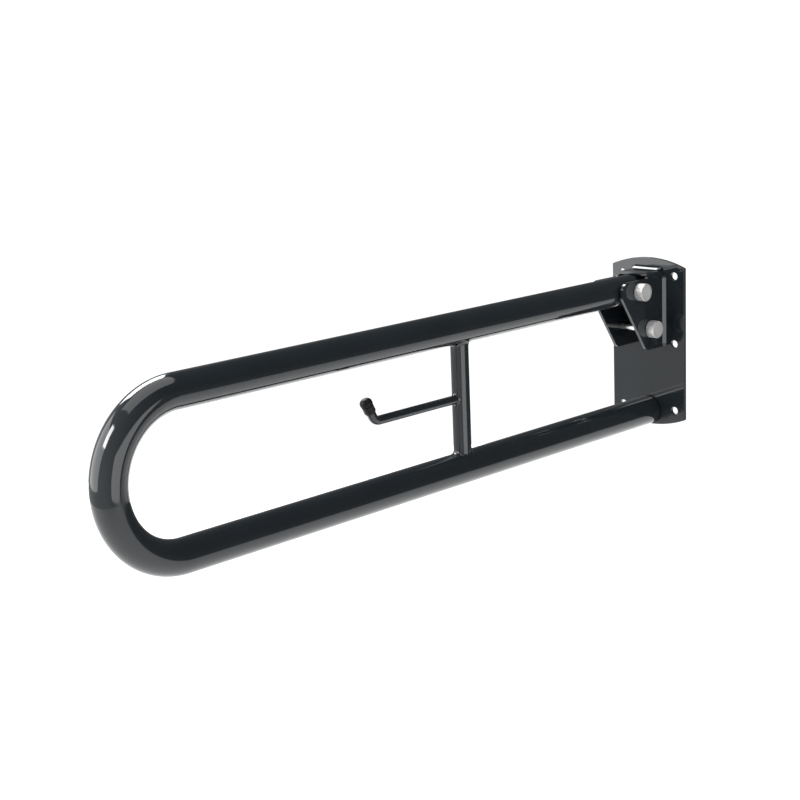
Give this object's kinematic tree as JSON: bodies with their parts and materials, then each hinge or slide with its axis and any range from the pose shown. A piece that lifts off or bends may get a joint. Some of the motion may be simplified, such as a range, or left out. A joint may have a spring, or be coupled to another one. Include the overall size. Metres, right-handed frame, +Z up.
{
  "type": "fold-up support rail",
  "caption": "Wall-mounted fold-up support rail: a long U-bent tube hinged in a plate bracket, with a cross post and a turned-up paper-roll arm.",
  "frame": {"origin": "centre of the wall plate's back face", "axes": "+Y into the wall, so the rail reaches out along -Y; +Z up; X across the rail"},
  "size_m": [0.102, 0.8, 0.2],
  "materials": {
    "gloss_paint": "gloss anthracite coating",
    "pin_steel": "fine turned stainless",
    "tongue_steel": "plain zinc-plated steel",
    "bush_nylon": "natural nylon",
    "black_rubber": "matt"
  },
  "bodies": {
    "wall_bracket": {"wall_plate": "gloss_paint", "hinge_bracket": "gloss_paint", "bracket_weld_near": "gloss_paint", "bracket_weld_far": "gloss_paint", "bracket_weld_top": "gloss_paint", "pivot_pin": "pin_steel", "pivot_nut": "pin_steel", "pivot_bush_near": "bush_nylon", "pivot_bush_far": "bush_nylon", "lock_pin": "pin_steel", "lock_nut": "pin_steel"},
    "rail": {"rail_tube": "gloss_paint", "lock_tongue": "tongue_steel", "stop_buffer": "black_rubber", "cross_post": "gloss_paint", "post_weld_top": "gloss_paint", "post_weld_low": "gloss_paint", "holder_rod": "gloss_paint", "holder_weld": "gloss_paint", "holder_cap": "black_rubber"}
  },
  "joints": [
    {"name": "rail_fold", "type": "hinge", "parent": "wall_bracket", "child": "rail", "pos_m": [0, -0.053, 0.0675], "axis": [-1, 0, 0], "range_deg": [0, 90]}
  ]
}
